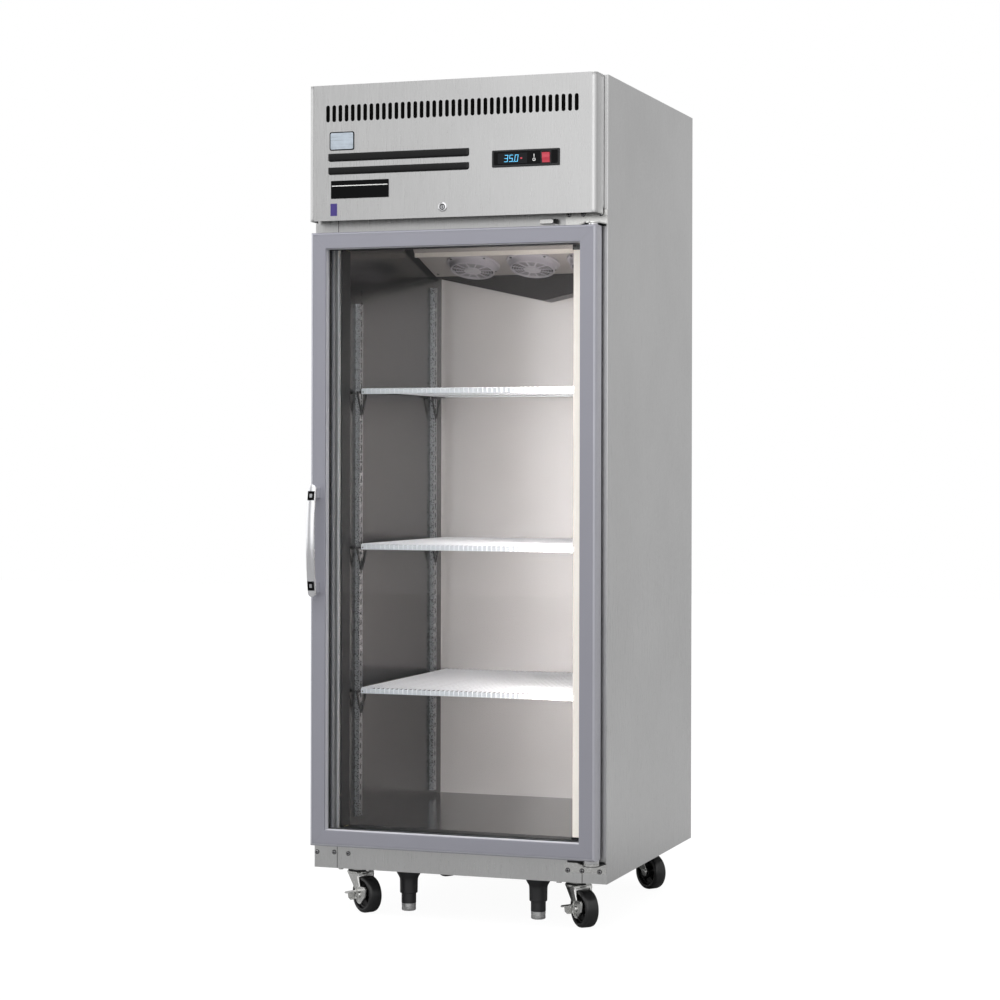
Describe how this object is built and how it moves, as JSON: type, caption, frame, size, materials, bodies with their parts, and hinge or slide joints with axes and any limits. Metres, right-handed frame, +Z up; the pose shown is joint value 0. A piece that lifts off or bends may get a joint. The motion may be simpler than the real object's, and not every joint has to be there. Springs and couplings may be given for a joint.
{
  "type": "reach-in refrigerator",
  "caption": "Upright reach-in refrigerator with a glass door, wire shelves, a ceiling evaporator, a lift-up hood over the machine on top, and casters with levelling legs.",
  "frame": {"origin": "on the floor under the middle of the outer box, door and handle included", "axes": "+Z up, -Y towards the door, +X towards the hinge side"},
  "size_m": [0.743, 0.885, 2.001],
  "materials": {
    "stainless_skin": "brushed stainless sheet",
    "galvanised_sheet": "galvanised sheet",
    "liner_steel": "brushed stainless sheet",
    "foam": "rigid foam",
    "black_strip": "matt extruded plastic",
    "clip_steel": "black paint",
    "coated_wire": "pale plastic-coated wire",
    "painted_cover": "grey paint",
    "fin_aluminium": "bare fins",
    "grey_plastic": "moulded plastic",
    "motor_steel": "dark enamel",
    "fan_plastic": "dark moulded plastic",
    "lamp_cover": "milky plastic",
    "black_enamel": "black enamel",
    "copper": "bare copper",
    "rocker_red": "translucent red plastic",
    "chrome_lock": "polished",
    "anodised_frame": "satin anodised",
    "clear_glass": "clear",
    "gasket_rubber": "matt",
    "handle_steel": "satin",
    "zinc_steel": "zinc plated",
    "wheel_tread": "dark tread",
    "leg_plastic": "dark moulded plastic",
    "foot_steel": "turned steel"
  },
  "bodies": {
    "cabinet": {"left_side_panel": "stainless_skin", "right_side_panel": "stainless_skin", "back_panel": "galvanised_sheet", "base_pan": "stainless_skin", "machine_deck": "stainless_skin", "top_cover": "stainless_skin", "rear_grille": "galvanised_sheet", "inner_liner": "liner_steel", "insulation": "foam", "breaker_strips": "black_strip", "pilasters": "liner_steel", "shelf_clips": "clip_steel", "shelf_bottom": "coated_wire", "shelf_middle": "coated_wire", "shelf_top": "coated_wire", "evaporator_cover": "painted_cover", "drain_pan": "painted_cover", "evaporator_coil": "fin_aluminium", "fan_guards": "grey_plastic", "fan_motors": "motor_steel", "condensate_drain": "fan_plastic", "lamp_housing": "liner_steel", "lamp_diffuser": "lamp_cover", "compressor": "black_enamel", "condenser_coil": "fin_aluminium", "fan_shroud": "black_enamel", "refrigerant_pipes": "copper", "control_box": "fan_plastic", "cord_gland": "fan_plastic", "door_switch": "lamp_cover", "hinge_brackets": "zinc_steel", "screws": "zinc_steel", "caster_plates": "zinc_steel", "leg_sleeves": "leg_plastic"},
    "door": {"door_frame": "anodised_frame", "glass_unit": "clear_glass", "door_gasket": "gasket_rubber", "door_handle": "handle_steel", "door_bushes": "chrome_lock"},
    "hood": {"hood_panel": "stainless_skin", "hood_trim": "fan_plastic", "display_bezel": "fan_plastic"},
    "lock": {"lock_cylinder": "chrome_lock"},
    "rocker": {"rocker_switch": "rocker_red"},
    "fan_left": {"evap_fan_left": "fan_plastic"},
    "fan_middle": {"evap_fan_middle": "fan_plastic"},
    "fan_right": {"evap_fan_right": "fan_plastic"},
    "fan_condenser": {"condenser_fan": "fan_plastic"},
    "left_foot": {"foot_left": "foot_steel"},
    "right_foot": {"foot_right": "foot_steel"},
    "caster_front_left": {"fork_front_left": "zinc_steel"},
    "roller_front_left": {"wheel_front_left": "wheel_tread"},
    "caster_front_right": {"fork_front_right": "zinc_steel"},
    "roller_front_right": {"wheel_front_right": "wheel_tread"},
    "caster_rear_left": {"fork_rear_left": "zinc_steel"},
    "roller_rear_left": {"wheel_rear_left": "wheel_tread"},
    "caster_rear_right": {"fork_rear_right": "zinc_steel"},
    "roller_rear_right": {"wheel_rear_right": "wheel_tread"},
    "brake_left": {"brake_lever_left": "zinc_steel"},
    "brake_right": {"brake_lever_right": "zinc_steel"}
  },
  "joints": [
    {"name": "door_swing", "type": "hinge", "parent": "cabinet", "child": "door", "pos_m": [0.345, -0.3725, 0.1715], "axis": [0, 0, 1], "range_deg": [0, 115]},
    {"name": "hood_lift", "type": "hinge", "parent": "cabinet", "child": "hood", "pos_m": [0, -0.343, 1.9956], "axis": [-1, 0, 0], "range_deg": [0, 75]},
    {"name": "lock_turn", "type": "hinge", "parent": "hood", "child": "lock", "pos_m": [-0.0186, -0.3975, 1.6985], "axis": [0, 1, 0], "range_deg": [0, 90]},
    {"name": "rocker_tip", "type": "hinge", "parent": "hood", "child": "rocker", "pos_m": [0.239, -0.3985, 1.8065], "axis": [-1, 0, 0], "range_deg": [0, 16]},
    {"name": "fan_left_spin", "type": "hinge", "parent": "cabinet", "child": "fan_left", "pos_m": [-0.165, 0.2195, 1.616], "axis": [0, 0.2983, 0.9545], "continuous": true},
    {"name": "fan_middle_spin", "type": "hinge", "parent": "cabinet", "child": "fan_middle", "pos_m": [0, 0.2195, 1.616], "axis": [0, 0.2983, 0.9545], "continuous": true},
    {"name": "fan_right_spin", "type": "hinge", "parent": "cabinet", "child": "fan_right", "pos_m": [0.165, 0.2195, 1.616], "axis": [0, 0.2983, 0.9545], "continuous": true},
    {"name": "condenser_fan_spin", "type": "hinge", "parent": "cabinet", "child": "fan_condenser", "pos_m": [0, -0.1945, 1.8477], "axis": [0, 1, 0], "continuous": true},
    {"name": "left_foot_slide", "type": "slide", "parent": "cabinet", "child": "left_foot", "axis": [0, 0, 1], "range_m": [-0.02, 0]},
    {"name": "right_foot_slide", "type": "slide", "parent": "cabinet", "child": "right_foot", "axis": [0, 0, 1], "range_m": [-0.02, 0]},
    {"name": "front_left_swivel", "type": "hinge", "parent": "cabinet", "child": "caster_front_left", "pos_m": [-0.2795, -0.2705, 0.1], "axis": [0, 0, 1], "continuous": true},
    {"name": "front_left_roll", "type": "hinge", "parent": "caster_front_left", "child": "roller_front_left", "pos_m": [-0.25118, -0.29107, 0.0445], "axis": [-0.5878, -0.809, 0], "continuous": true},
    {"name": "front_right_swivel", "type": "hinge", "parent": "cabinet", "child": "caster_front_right", "pos_m": [0.2795, -0.2705, 0.1], "axis": [0, 0, 1], "continuous": true},
    {"name": "front_right_roll", "type": "hinge", "parent": "caster_front_right", "child": "roller_front_right", "pos_m": [0.30425, -0.29525, 0.0445], "axis": [-0.7071, -0.7071, 0], "continuous": true},
    {"name": "rear_left_swivel", "type": "hinge", "parent": "cabinet", "child": "caster_rear_left", "pos_m": [-0.2795, 0.2855, 0.1], "axis": [0, 0, 1], "continuous": true},
    {"name": "rear_left_roll", "type": "hinge", "parent": "caster_rear_left", "child": "roller_rear_left", "pos_m": [-0.25118, 0.26493, 0.0445], "axis": [-0.5878, -0.809, 0], "continuous": true},
    {"name": "rear_right_swivel", "type": "hinge", "parent": "cabinet", "child": "caster_rear_right", "pos_m": [0.2795, 0.2855, 0.1], "axis": [0, 0, 1], "continuous": true},
    {"name": "rear_right_roll", "type": "hinge", "parent": "caster_rear_right", "child": "roller_rear_right", "pos_m": [0.30782, 0.26493, 0.0445], "axis": [-0.5878, -0.809, 0], "continuous": true},
    {"name": "left_brake_press", "type": "hinge", "parent": "caster_front_left", "child": "brake_left", "pos_m": [-0.26494, -0.31, 0.0445], "axis": [-0.5878, -0.809, 0], "range_deg": [0, 18]},
    {"name": "right_brake_press", "type": "hinge", "parent": "caster_front_right", "child": "brake_right", "pos_m": [0.2877, -0.31179, 0.0445], "axis": [-0.7071, -0.7071, 0], "range_deg": [0, 18]}
  ]
}
